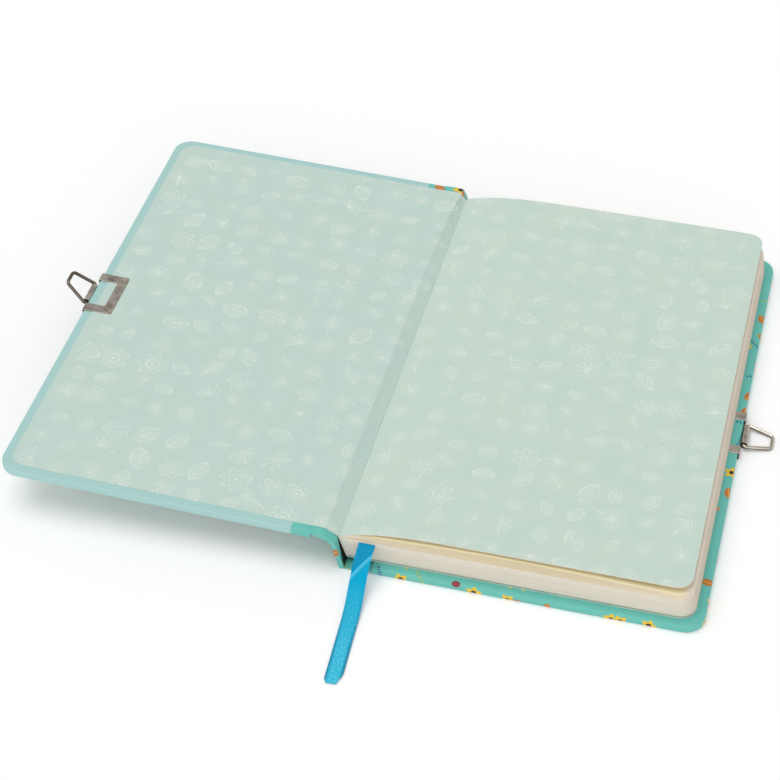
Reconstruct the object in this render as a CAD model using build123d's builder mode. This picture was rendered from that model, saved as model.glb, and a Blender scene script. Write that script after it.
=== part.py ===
from build123d import *
import os
from math import cos, exp, radians, sin, tan

# Hardback diary with two lock loops, lying open at its front endpapers.
# Millimetres, +Z up, +X from the spine to the fore edge of the back cover, +Y to the head.
# The origin is the middle of the closed diary's underside.

# Case: two boards and a hollow spine in covering paper
COVER_W = 132.7  # spine's outer face to fore edge, closed
COVER_H = 210.0  # tail to head
JOINT_W = 12.7  # spine's outer face to the board's edge, closed
BOARD_T = 2.5
PAPER_T = 0.25
ENDPAPER_T = 0.2
TURN_IN = 15.0  # covering paper folded onto the inner face
QUARTER = 7.2  # lap of the turquoise spine paper onto the front board
COVER_R = 7.5
EDGE_R = 0.5
SPINE_T = 1.8
HINGE_DEPTH = 1.8  # hinge lines below the outer skin of each cover
SPINE_HINGE_IN = 1.4  # spine's outer face to the back hinge line
COVER_HINGE_IN = 2.82  # spine's outer face to the front hinge line
SPINE_FOOT = 1.45  # spine below the back hinge line
SPINE_DROP = 1.8  # spine's top below the front hinge line
PLEAT_T = 0.75  # covering paper and lining in the joints
GROOVE_H = 1.0  # back joint's skin above the table at the board
GROOVE_SHARE = 0.4  # share of the back joint that lies low
VALLEY_H = 0.85  # endpaper's fall from the front board to the middle of its joint
LIP_H = 1.0  # endpaper above the text block, where it turns down to the gutter
SHEET_GAP = 0.06  # between sheets that only touch

# Text block and loose leaves
SECTIONS = 8
BLOCK_T = 9.6  # back flyleaf and sections
SQUARE = 3.5  # cover beyond the pages
PAGE_R = 6.0
FORE_SHEAR = 1.5  # top section's fore edge behind the bottom one's, as the open block leans
SECTION_GAP = 1.3  # upright spine to the straight backs of the sections
FOLD_ROOT = 0.7  # glued folds behind the straight backs, at the bottom
HOLLOW = 0.45  # leaning spine to the lining of the block
LINING_T = 0.2
THREAD_D = 0.4
THREAD_IN = 0.3  # thread's middle behind the straight backs
STITCHES = 5
STITCH_L = 26.0
STITCH_PITCH = 38.0
LEAF_SPACE = 0.3  # room for the loose leaves in the closed diary
LEAF_T = 0.12
FLYLEAF_T = 0.16
LEAF_PITCH = 0.22  # loose leaves at their roots
LEAF_LIFT = 4.85  # flyleaf's rise above its root
LEAF_CURVE = 13.0  # length over which it rises
LEAF_BEND = 1.3  # how softly the rise and the drops start
LEAF_DROPS = [0.0, 4.0, 4.4, 4.75]  # flyleaf and leaves below the highest line, at the fore edge
LEAF_SHORT = [2.65, 2.2, 1.9, 1.6]  # their fore edges behind that of the bottom section
LEAF_STOPS = [0.0, 0.06, 0.14, 0.26, 0.5, 0.75, 1.0]  # shares of a leaf's width where its curve is set
ROOT_W = 6.8  # gutter to the crease where the leaves turn
CREASE_GAP = 0.1

# Ribbon marker
RIBBON_W = 6.1
RIBBON_T = 0.15
RIBBON_TAIL_T = 0.3
RIBBON_IN = 10.15  # spine's outer face to the ribbon's middle
RIBBON_SECTION = 7  # it lies on this section, counted from the back
RIBBON_HEAD = 4.0  # inner end below the head of the pages
RIBBON_LIE_H = 0.45  # middle of the free end above the table
# Free end's route: length out of the tail of the pages, and share of the drop still to come
RIBBON_ROUTE = [(6.5, 0.88), (14.5, 0.32), (23.5, 0.04), (38.5, 0.0), (56.0, 0.014)]
RIBBON_ARC = 0.45  # share of the shorter run that each bend takes up

# Clips and loops
CLIP_Y = -2.4
CLIP_W = 23.0
CLIP_DEPTH = 11.3  # inner frame, in from the fore edge
CLIP_BACK = 9.0  # outer plate, in from the fore edge
CLIP_T = 0.6
STRAP_W = 4.2
CROSSBAR_W = 3.9
FRAME_R = 1.0
WINDOW_R = 0.9
FRONT_PROUD = 0.2  # front clip above the endpaper
DIMPLE_R = 0.7
DIMPLE_DEEP = 0.3
WIRE_D = 1.4
WIRE_PLAY = 0.05
BARREL_L = 9.8
BARREL_OUT = 1.5  # barrel's axis outside the fore edge
BARREL_UP = 1.8  # barrel's axis above the outer skin
LOOP_L = 10.5
LOOP_BASE = 12.4
LOOP_TIP = 6.9
LOOP_BASE_R = 0.9
LOOP_TIP_R = 1.8

# The open pose
SPINE_LEAN = 14.0
COVER_RISE = 1.77  # open front cover above the level
FRONT_LOOP_TILT = 40.0
BACK_LOOP_TILT = -5.9

# Worked out from the sizes above
HALF_W = COVER_W / 2
RIBBON_X = RIBBON_IN - HALF_W
HALF_H = COVER_H / 2
COVER_T = BOARD_T + 2 * PAPER_T
INNER = COVER_T + ENDPAPER_T
CLOSED_T = 2 * INNER + BLOCK_T + LEAF_SPACE
BOARD_EDGE = JOINT_W - HALF_W
PAGE_X = HALF_W - SQUARE
PAGE_Y = HALF_H - SQUARE
BLOCK_TOP = INNER + BLOCK_T
SECTION_T = (BLOCK_T - ENDPAPER_T) / SECTIONS
SECTION_X = -HALF_W + SPINE_T + SECTION_GAP
SPINE_X = -HALF_W + SPINE_HINGE_IN
SPINE_OUT = -SPINE_HINGE_IN
SPINE_IN = SPINE_T - SPINE_HINGE_IN
HINGE_RISE = CLOSED_T - 2 * HINGE_DEPTH
SPINE_TOP = HINGE_RISE - SPINE_DROP
CLIP_SIDE = CLIP_W / 2 - STRAP_W / 2
BARREL_R = WIRE_D / 2 + WIRE_PLAY + CLIP_T
SMALL = 0.01
lean = radians(SPINE_LEAN)
swing = radians(180 - COVER_RISE)


def leaning(x, z):
    """Place in the XZ plane of a point given from the back hinge line of the upright spine."""
    return (SPINE_X + x * cos(lean) - z * sin(lean), HINGE_DEPTH + x * sin(lean) + z * cos(lean))


def opened(x, depth):
    """Place in the XZ plane of a point of the front cover, given closed, at a depth from its skin."""
    reach = x + HALF_W - COVER_HINGE_IN
    rise = HINGE_DEPTH - depth
    hinge_x, hinge_z = leaning(COVER_HINGE_IN - SPINE_HINGE_IN, HINGE_RISE)
    return (hinge_x + reach * cos(swing) - rise * sin(swing), hinge_z + reach * sin(swing) + rise * cos(swing))


# Each cover is drawn from its outer skin, as it lies in the closed diary
back_plane = Plane.XY
front_x, front_z = opened(0, 0)
front_plane = Plane(origin=(front_x, 0, front_z), x_dir=(cos(swing), 0, sin(swing)), z_dir=(sin(swing), 0, -cos(swing)))
spine_side = Plane(origin=(SPINE_X, 0, HINGE_DEPTH), x_dir=(cos(lean), 0, sin(lean)), z_dir=(0, -1, 0))


def plate(x_from, x_to, y_half, radius):
    """Outline of a plate with its two corners at the fore edge rounded, or square for a radius of 0."""
    corners = [(x_from, -y_half), (x_to, -y_half), (x_to, y_half), (x_from, y_half)]
    with BuildLine() as outline:
        FilletPolyline(*corners, radius=[0, radius, radius, 0], close=True)
    make_face(outline.edges())


def clip_solid(plane, middle, proud):
    """Stamped edge clip, still without its dimples: plate, straps round the edge, frame and barrel."""
    top = INNER + proud
    outer = CLIP_W / 2
    inner = outer - STRAP_W
    edge = HALF_W + CLIP_T
    back = HALF_W - CLIP_DEPTH
    front = back + CROSSBAR_W
    half = [(edge, outer), (back, outer)]
    hole = [(front, inner), (edge, inner)]
    frame = half + [(x, -y) for x, y in reversed(half)] + [(x, -y) for x, y in reversed(hole)] + hole
    frame_radii = [0, FRAME_R, FRAME_R, 0, 0, WINDOW_R, WINDOW_R, 0]
    axis_at = plane.from_local_coords((HALF_W + BARREL_OUT, middle, BARREL_UP))
    barrel_plane = Plane(origin=axis_at, x_dir=plane.x_dir, z_dir=plane.y_dir)
    with BuildPart() as clip:
        with BuildSketch(plane):
            with Locations((HALF_W + (CLIP_T - CLIP_BACK) / 2, middle)):
                Rectangle(CLIP_BACK + CLIP_T, CLIP_W)
            with Locations((HALF_W + BARREL_OUT / 2, middle)):
                Rectangle(BARREL_OUT, BARREL_L)
        extrude(amount=CLIP_T)
        with BuildSketch(plane):
            with Locations((HALF_W + CLIP_T / 2, middle - CLIP_SIDE), (HALF_W + CLIP_T / 2, middle + CLIP_SIDE)):
                Rectangle(CLIP_T, STRAP_W)
        extrude(amount=top)
        with BuildSketch(plane.offset(top - CLIP_T)):
            with BuildLine():
                FilletPolyline(*[(x, middle + y) for x, y in frame], radius=frame_radii, close=True)
            make_face()
        extrude(amount=CLIP_T)
        with BuildSketch(barrel_plane):
            Circle(BARREL_R)
        extrude(amount=BARREL_L / 2, both=True)
        with BuildSketch(barrel_plane):
            Circle(BARREL_R - CLIP_T)
        extrude(amount=BARREL_L, both=True, mode=Mode.SUBTRACT)
    return clip.part


def dimpled(plane, middle, proud, seat):
    """The finished clip, with a punch mark at each inner corner of its frame."""
    with BuildPart() as clip:
        add(seat)
        with BuildSketch(plane.offset(INNER + proud)):
            dimple_x = HALF_W - CLIP_DEPTH + CROSSBAR_W / 2
            with Locations((dimple_x, middle - CLIP_SIDE), (dimple_x, middle + CLIP_SIDE)):
                Circle(DIMPLE_R)
        extrude(amount=-DIMPLE_DEEP, mode=Mode.SUBTRACT)
    return clip.part


def loop_solid(plane, middle, tilt):
    """Wire loop: a base bar in the barrel, two legs drawn in and a tip bar, in one bent wire."""
    axis_at = plane.from_local_coords((HALF_W + BARREL_OUT, middle, BARREL_UP))
    angle = radians(tilt)
    outward = plane.x_dir * cos(angle) + plane.z_dir * sin(angle)
    across = plane.z_dir * cos(angle) - plane.x_dir * sin(angle)
    loop_plane = Plane(origin=axis_at, x_dir=outward, z_dir=across)
    corners = [(0, 0), (0, LOOP_BASE / 2), (LOOP_L, LOOP_TIP / 2), (LOOP_L, -LOOP_TIP / 2), (0, -LOOP_BASE / 2), (0, 0)]
    radii = [0, LOOP_BASE_R, LOOP_TIP_R, LOOP_TIP_R, LOOP_BASE_R]
    with BuildPart() as loop:
        with BuildLine(loop_plane):
            FilletPolyline(*corners, radius=radii)
        with BuildSketch(Plane(origin=axis_at, x_dir=outward, z_dir=plane.y_dir)):
            Circle(WIRE_D / 2)
        sweep()
    return loop.part


def board_solid(plane, clip):
    """Stiff board, inset by the paper, with a seat for the clip."""
    with BuildPart() as board:
        with BuildSketch(plane.offset(PAPER_T)):
            plate(BOARD_EDGE, HALF_W - PAPER_T, HALF_H - PAPER_T, COVER_R - PAPER_T)
        extrude(amount=BOARD_T)
        add(clip, mode=Mode.SUBTRACT)
    return board.part


def covering_solid(plane, x_from, x_to, board, clip):
    """Covering paper of a board between two places: skin, edges and turn-ins."""

    def on_rim(edge):
        place = plane.to_local_coords(edge.center())
        at_face = min(abs(place.Z), abs(place.Z - COVER_T)) < SMALL
        return at_face and place.X > BOARD_EDGE + SMALL

    with BuildPart() as covering:
        with BuildSketch(plane):
            plate(BOARD_EDGE, HALF_W, HALF_H, COVER_R)
        extrude(amount=COVER_T)
        fillet(covering.edges().filter_by(on_rim), EDGE_R)
        add(board, mode=Mode.SUBTRACT)
        with BuildSketch(plane.offset(COVER_T)):
            plate(BOARD_EDGE, HALF_W - TURN_IN, HALF_H - TURN_IN, 0)
        extrude(amount=-PAPER_T, mode=Mode.SUBTRACT)
        add(clip, mode=Mode.SUBTRACT)
        with BuildSketch(plane):
            plate(x_from, x_to, HALF_H, 0)
        extrude(amount=COVER_T, mode=Mode.INTERSECT)
    return covering.part


def pastedown_solid(plane, x_from, clip):
    """Endpaper glued inside a cover: a sheet with a filling between the turn-ins."""
    with BuildPart() as pastedown:
        with BuildSketch(plane.offset(COVER_T)):
            plate(x_from, PAGE_X, PAGE_Y, PAGE_R)
        extrude(amount=ENDPAPER_T)
        with BuildSketch(plane.offset(COVER_T)):
            plate(BOARD_EDGE, HALF_W - TURN_IN, HALF_H - TURN_IN, 0)
        extrude(amount=-PAPER_T)
        add(clip, mode=Mode.SUBTRACT)
    return pastedown.part


def strip_solid(lower, upper, y_half, far_end=()):
    """Strip of sheet between two curves, listed from one end to the other, with straight ends."""
    with BuildPart() as strip:
        with BuildSketch(Plane.XZ):
            with BuildLine():
                Spline(*lower)
                Polyline(lower[-1], *far_end, upper[-1])
                Spline(*reversed(upper))
                Line(upper[0], lower[0])
            make_face()
        extrude(amount=y_half, both=True)
    return strip.part


def raised(points, height):
    """The same points, higher."""
    return [(x, z + height) for x, z in points]


solids = {}

# Back cover
back_seat = clip_solid(back_plane, CLIP_Y, 0)
solids["back_clip"] = dimpled(back_plane, CLIP_Y, 0, back_seat)
solids["back_loop"] = loop_solid(back_plane, CLIP_Y, BACK_LOOP_TILT)
solids["back_board"] = board_solid(back_plane, back_seat)
solids["back_cover_paper"] = covering_solid(back_plane, BOARD_EDGE, HALF_W, solids["back_board"], back_seat)
solids["back_pastedown"] = pastedown_solid(back_plane, SECTION_X, back_seat)

# Front cover, whose own Y runs to the tail
quarter_x = BOARD_EDGE + QUARTER
front_seat = clip_solid(front_plane, -CLIP_Y, FRONT_PROUD)
solids["front_clip"] = dimpled(front_plane, -CLIP_Y, FRONT_PROUD, front_seat)
solids["front_loop"] = loop_solid(front_plane, -CLIP_Y, FRONT_LOOP_TILT)
solids["front_board"] = board_solid(front_plane, front_seat)
solids["front_cover_paper"] = covering_solid(front_plane, quarter_x, HALF_W, solids["front_board"], front_seat)
solids["front_spine_strip"] = covering_solid(front_plane, BOARD_EDGE, quarter_x, solids["front_board"], front_seat)
solids["front_pastedown"] = pastedown_solid(front_plane, BOARD_EDGE, front_seat)

# Spine: board and paper, with the paper turned in at head and tail
with BuildPart() as spine_board:
    with BuildSketch(spine_side):
        with Locations(((SPINE_OUT + SPINE_IN) / 2, (SPINE_TOP - SPINE_FOOT) / 2)):
            Rectangle(SPINE_T - 2 * PAPER_T, SPINE_TOP + SPINE_FOOT)
    extrude(amount=HALF_H - PAPER_T, both=True)
solids["spine_board"] = spine_board.part

with BuildPart() as spine_paper:
    with BuildSketch(spine_side):
        with Locations(((SPINE_OUT + SPINE_IN) / 2, (SPINE_TOP - SPINE_FOOT) / 2)):
            Rectangle(SPINE_T, SPINE_TOP + SPINE_FOOT)
    extrude(amount=HALF_H, both=True)
    add(spine_board.part, mode=Mode.SUBTRACT)
    with BuildSketch(spine_side):
        with Locations((SPINE_IN - PAPER_T / 2, (SPINE_TOP - SPINE_FOOT) / 2)):
            Rectangle(PAPER_T, SPINE_TOP + SPINE_FOOT)
    extrude(amount=HALF_H - TURN_IN, both=True, mode=Mode.SUBTRACT)
solids["spine_paper"] = spine_paper.part

# Joints: the covering paper between the spine and each board, bowed in the grooves
foot_out = leaning(SPINE_OUT, -SPINE_FOOT)
foot_in = leaning(SPINE_IN, -SPINE_FOOT)
low_x = foot_in[0] + GROOVE_SHARE * (BOARD_EDGE - foot_in[0])
solids["back_joint"] = strip_solid(
    [foot_out, (low_x, foot_out[1] + PAPER_T), (BOARD_EDGE, GROOVE_H)],
    [foot_in, (low_x, foot_out[1] + PAPER_T + PLEAT_T), (BOARD_EDGE, GROOVE_H + PLEAT_T)],
    HALF_H,
)

top_out = leaning(SPINE_OUT, SPINE_TOP)
top_in = leaning(SPINE_IN, SPINE_TOP)
gutter = leaning(SPINE_IN + HOLLOW, (BLOCK_TOP - HINGE_DEPTH) / cos(lean) - (SPINE_IN + HOLLOW) * tan(lean))
joint_inner = opened(BOARD_EDGE, COVER_T)
joint_outer = opened(BOARD_EDGE, COVER_T - PLEAT_T)
middle_x = (joint_inner[0] + top_out[0]) / 2
lip = (top_out[0], BLOCK_TOP + LIP_H)
bend = (middle_x, joint_inner[1] - VALLEY_H)
solids["front_joint"] = strip_solid(
    [joint_outer, (middle_x, joint_outer[1] - VALLEY_H - PLEAT_T / 2), top_out],
    [opened(BOARD_EDGE, COVER_T - SHEET_GAP)] + raised([bend, lip], -SHEET_GAP),
    HALF_H,
    [top_in],
)
solids["endpaper_hinge"] = strip_solid(
    [joint_inner, bend, lip],
    [opened(BOARD_EDGE, INNER)] + raised([bend, lip], ENDPAPER_T),
    PAGE_Y,
)
lip_end = (lip[0] + SHEET_GAP, lip[1])
gutter_end = (gutter[0], BLOCK_TOP + SHEET_GAP)
solids["endpaper_gutter"] = strip_solid(
    [lip_end, gutter_end], raised([lip_end, gutter_end], ENDPAPER_T), PAGE_Y
)

# Text block: sections with straight backs, and their glued folds, which lean with the spine
with BuildPart() as ribbon:
    ribbon_z = INNER + ENDPAPER_T + RIBBON_SECTION * SECTION_T
    with BuildSketch(Plane.XY.offset(ribbon_z)):
        with Locations((RIBBON_X, -RIBBON_HEAD / 2)):
            Rectangle(RIBBON_W, 2 * PAGE_Y - RIBBON_HEAD)
    extrude(amount=-RIBBON_T)
solids["ribbon"] = ribbon.part

with BuildPart() as back_flyleaf:
    with BuildSketch(Plane.XY.offset(INNER)):
        plate(SECTION_X, PAGE_X, PAGE_Y, PAGE_R)
    extrude(amount=ENDPAPER_T)
solids["back_flyleaf"] = back_flyleaf.part

for number in range(1, SECTIONS + 1):
    with BuildPart() as section:
        with BuildSketch(Plane.XY.offset(INNER + ENDPAPER_T + (number - 1) * SECTION_T)):
            plate(SECTION_X, PAGE_X - FORE_SHEAR * (number - 1) / (SECTIONS - 1), PAGE_Y, PAGE_R)
        extrude(amount=SECTION_T)
        if number == RIBBON_SECTION:
            add(ribbon.part, mode=Mode.SUBTRACT)
    solids[f"section_{number}"] = section.part

with BuildPart() as sewing_threads:
    for stitch in range(STITCHES):
        stitch_y = (stitch - (STITCHES - 1) / 2) * STITCH_PITCH
        with BuildSketch(Plane.XZ.offset(stitch_y)):
            for number in range(SECTIONS):
                with Locations((SECTION_X - THREAD_IN, INNER + ENDPAPER_T + (number + 0.5) * SECTION_T)):
                    Circle(THREAD_D / 2)
        extrude(amount=STITCH_L / 2, both=True)
solids["sewing_threads"] = sewing_threads.part

root = (SECTION_X - FOLD_ROOT, INNER)
with BuildPart() as section_backs:
    with BuildSketch(Plane.XZ):
        Polygon(root, (SECTION_X, INNER), (SECTION_X, BLOCK_TOP), gutter, align=None)
    extrude(amount=PAGE_Y, both=True)
    add(sewing_threads.part, mode=Mode.SUBTRACT)
solids["section_backs"] = section_backs.part

with BuildPart() as spine_lining:
    with BuildSketch(Plane.XZ):
        Polygon(root, gutter, (gutter[0] - LINING_T, BLOCK_TOP), (root[0] - LINING_T, INNER), align=None)
    extrude(amount=PAGE_Y, both=True)
solids["spine_lining"] = spine_lining.part


# Loose leaves: they rise from the gutter towards the fore edge, the flyleaf highest
def leaf_height(x, order):
    """Middle of a loose leaf: a rise that dies away from the gutter, less the spread of lower leaves."""
    rise = LEAF_LIFT * (1 - exp(-(((x - gutter[0]) / LEAF_CURVE) ** LEAF_BEND)))
    base = BLOCK_TOP + (len(LEAF_DROPS) - order - 0.5) * LEAF_PITCH
    away = max(0, (x - crease_x) / (PAGE_X - crease_x))
    return base + rise - LEAF_DROPS[order] * away**LEAF_BEND


def leaf_strip(stops, order, thick):
    """One leaf, or its root, through the given places along X."""
    middle = [(x, leaf_height(x, order)) for x in stops]
    return strip_solid(raised(middle, -thick / 2), raised(middle, thick / 2), PAGE_Y)


crease_x = gutter[0] + ROOT_W
leaf_x = crease_x + CREASE_GAP
root_stops = [gutter[0] + CREASE_GAP, gutter[0] + ROOT_W / 2, crease_x - CREASE_GAP]

with BuildPart() as leaf_roots:
    for order in range(1, len(LEAF_DROPS)):
        add(leaf_strip(root_stops, order, LEAF_T))
solids["leaf_roots"] = leaf_roots.part
solids["flyleaf_root"] = leaf_strip(root_stops, 0, FLYLEAF_T)

for order in range(len(LEAF_DROPS)):
    fore_x = PAGE_X - LEAF_SHORT[order]
    leaf_stops = [leaf_x + share * (fore_x - leaf_x) for share in LEAF_STOPS]
    with BuildPart() as leaf:
        add(leaf_strip(leaf_stops, order, LEAF_T if order else FLYLEAF_T))
        with BuildSketch(Plane.XY.offset(BLOCK_TOP)):
            plate(leaf_x, fore_x, PAGE_Y, PAGE_R)
        extrude(amount=2 * LEAF_LIFT, mode=Mode.INTERSECT)
    solids[f"leaf_{order}" if order else "flyleaf"] = leaf.part

# Ribbon's free end: out of the tail, down and along the table
drop = ribbon_z - RIBBON_T / 2 - RIBBON_LIE_H
route = [(-PAGE_Y - SHEET_GAP, RIBBON_LIE_H + drop)]
route += [(-PAGE_Y - out, RIBBON_LIE_H + share * drop) for out, share in RIBBON_ROUTE]
radii = []
for before, here, after in zip(route, route[1:], route[2:]):
    run_in = Vector(*here) - Vector(*before)
    run_out = Vector(*after) - Vector(*here)
    half_turn = radians(run_in.get_angle(run_out)) / 2
    radii.append(RIBBON_ARC * min(run_in.length, run_out.length) / tan(half_turn))
print("ribbon radii", [round(radius, 1) for radius in radii])
with BuildPart() as ribbon_tail:
    with BuildSketch(Plane.YZ.offset(RIBBON_X)):
        with BuildLine() as ribbon_line:
            FilletPolyline(*route, radius=radii)
        trace(line_width=RIBBON_TAIL_T)
    extrude(amount=RIBBON_W / 2, both=True)
solids["ribbon_tail"] = ribbon_tail.part
print("ribbon tail length", round(sum(edge.length for edge in ribbon_line.edges()), 1))
print("ribbon tail volume over section", round(ribbon_tail.part.volume / RIBBON_W / RIBBON_TAIL_T, 1))

# Hinge lines, for the joints
print("spine hinge", [round(value, 4) for value in leaning(0, 0)])
print("cover hinge", [round(value, 4) for value in leaning(COVER_HINGE_IN - SPINE_HINGE_IN, HINGE_RISE)])
print("crease", round(crease_x, 4), round(leaf_height(crease_x, 0), 4))
for side, plane, middle in (("back", back_plane, CLIP_Y), ("front", front_plane, -CLIP_Y)):
    place = plane.from_local_coords((HALF_W + BARREL_OUT, middle, BARREL_UP))
    print(side, "barrel", [round(value, 4) for value in place])

os.makedirs("parts", exist_ok=True)
for name, solid in solids.items():
    solid.label = name
    export_step(solid, f"parts/{name}.step")
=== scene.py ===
"""Hardback diary with lock loops, lying open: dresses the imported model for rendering."""

import logging
import math
from collections.abc import Iterable, Sequence
from dataclasses import dataclass, field
from enum import Enum
from typing import Any

import bpy
import numpy as np
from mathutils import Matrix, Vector


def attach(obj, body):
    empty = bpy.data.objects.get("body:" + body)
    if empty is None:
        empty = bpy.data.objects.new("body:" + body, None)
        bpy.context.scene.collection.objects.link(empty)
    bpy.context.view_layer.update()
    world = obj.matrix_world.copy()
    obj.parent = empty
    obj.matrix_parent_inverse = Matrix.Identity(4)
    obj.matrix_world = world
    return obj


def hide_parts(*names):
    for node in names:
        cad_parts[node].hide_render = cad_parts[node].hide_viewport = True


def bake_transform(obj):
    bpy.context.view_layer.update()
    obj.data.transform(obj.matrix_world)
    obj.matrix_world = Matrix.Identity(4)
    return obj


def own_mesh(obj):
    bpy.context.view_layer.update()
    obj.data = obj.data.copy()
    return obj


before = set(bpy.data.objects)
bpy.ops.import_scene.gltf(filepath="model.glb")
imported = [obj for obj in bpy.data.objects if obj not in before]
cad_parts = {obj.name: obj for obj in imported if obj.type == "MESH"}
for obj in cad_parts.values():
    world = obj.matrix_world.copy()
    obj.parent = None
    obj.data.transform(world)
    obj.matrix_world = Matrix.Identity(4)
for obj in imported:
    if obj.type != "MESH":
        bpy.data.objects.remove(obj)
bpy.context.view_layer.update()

LOG = logging.getLogger("diary")
MM = 0.001
Grid = np.ndarray
Point = tuple[float, float, float]


def linear(code: str) -> tuple[float, float, float, float]:
    """Turns an sRGB hex colour into linear light.

    Args:
        code: six hex digits after a hash sign.

    Returns:
        Linear red, green and blue, and an alpha of 1.
    """
    shares = np.array([int(code[place : place + 2], 16) for place in (1, 3, 5)]) / 255
    light = np.where(shares <= 0.04045, shares / 12.92, ((shares + 0.055) / 1.055) ** 2.4)
    return (*(float(value) for value in light), 1.0)


class Graph:
    """Node tree of a new material, or of the world."""

    def __init__(self, owner: bpy.types.ID) -> None:
        """Starts an empty tree.

        Args:
            owner: material or world that holds it.
        """
        self.owner = owner
        owner.use_nodes = True
        self.tree = owner.node_tree
        self.tree.nodes.clear()

    def add(self, kind: str, sockets: dict | None = None, **settings: Any) -> bpy.types.Node:
        """Adds one node with its settings and links.

        Args:
            kind: node type without its ShaderNode prefix.
            sockets: input name or number to a value, a socket, or a node for its first output. A tuple of
                numbers takes a tuple with as many of them.
            settings: properties of the node.

        Returns:
            The new node.
        """
        node = self.tree.nodes.new("ShaderNode" + kind)
        for name, value in settings.items():
            setattr(node, name, value)
        for key, given in (sockets or {}).items():
            for name, value in zip(key, given) if isinstance(key, tuple) else [(key, given)]:
                if isinstance(value, bpy.types.Node):
                    value = value.outputs[0]
                if isinstance(value, bpy.types.NodeSocket):
                    self.tree.links.new(value, node.inputs[name])
                else:
                    node.inputs[name].default_value = value
        return node


@dataclass
class Scatter:
    """Places of a scattered print: one turned motif in each cell of a jittered net.

    Attributes:
        graph: tree that the print is drawn in.
        flat: vector in millimetres on the flat sheet.
        pitch: distance between motifs in millimetres.
        jitter: from 0, a square net, to 1, fully loose.
        swell: share by which motifs differ in size.
    """

    graph: Graph
    flat: Any
    pitch: float
    jitter: float
    swell: float = 0.0

    def __post_init__(self) -> None:
        """Works out each point's place in its cell, square and polar, and the cell's draw."""
        add = self.graph.add
        flat = add("VectorMath", {0: self.flat, 1: (1.0, 1.0, 0.0)}, operation="MULTIPLY")
        cell = add(
            "TexVoronoi",
            {"Vector": flat, "Scale": 1 / self.pitch, "Randomness": self.jitter},
            voronoi_dimensions="2D",
        )
        away = add("VectorMath", {0: flat, 1: cell.outputs["Position"]}, operation="SUBTRACT")
        draw = add("SeparateColor", {0: cell.outputs["Color"]})
        turn = add("Math", {0: draw.outputs[0], 1: math.tau}, operation="MULTIPLY")
        place = add("VectorRotate", {"Vector": away, "Angle": turn}, rotation_type="Z_AXIS")
        size = add("MapRange", {0: draw.outputs[2], 3: 1 + self.swell, 4: 1 - self.swell})
        place = add("VectorMath", {0: place, "Scale": size.outputs[0]}, operation="SCALE")
        sides = add("SeparateXYZ", {0: place})
        self.along = sides.outputs[0]
        self.across = sides.outputs[1]
        self.radius = add("VectorMath", {0: place}, operation="LENGTH").outputs["Value"]
        self.angle = add("Math", {0: self.across, 1: self.along}, operation="ARCTAN2")
        self.draw = draw.outputs[1]

    def chosen(self, low: float, high: float, mask: Any) -> bpy.types.Node:
        """Keeps a mask only in the cells whose draw lies in a range.

        Args:
            low: start of the range.
            high: end of the range.
            mask: node or socket that is 1 on the motif.

        Returns:
            Node that is 1 on the motif in those cells.
        """
        add = self.graph.add
        sockets = {0: self.draw, 1: (low + high) / 2, 2: (high - low) / 2}
        here = add("Math", sockets, operation="COMPARE")
        return add("Math", {0: here, 1: mask}, operation="MULTIPLY")

    def petals(self, count: int, middle: float, depth: float) -> bpy.types.Node:
        """Radius of a petalled outline: middle plus depth times the cosine of count turns.

        Args:
            count: number of petals.
            middle: mean radius in millimetres.
            depth: how far the petals swing about it, in millimetres.

        Returns:
            Node that gives the outline's radius at the point's angle.
        """
        add = self.graph.add
        wave = add("Math", {0: self.angle, 1: float(count)}, operation="MULTIPLY")
        crest = add("Math", {0: wave}, operation="COSINE")
        return add("Math", {0: crest, 1: depth, 2: middle}, operation="MULTIPLY_ADD")

    def leaf(self, offset: float) -> bpy.types.Node:
        """Distance that draws a pointed leaf: that to a centre moved off to the far side.

        Args:
            offset: how far each side's centre lies from the midrib, in millimetres.

        Returns:
            Node that gives the distance; a leaf of radius R is where it is below R.
        """
        add = self.graph.add
        aside = add("Math", {0: self.across}, operation="ABSOLUTE")
        moved = add("Math", {0: aside, 1: offset}, operation="ADD")
        both = add("CombineXYZ", {0: self.along, 1: moved})
        return add("VectorMath", {0: both}, operation="LENGTH").outputs["Value"]


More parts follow.
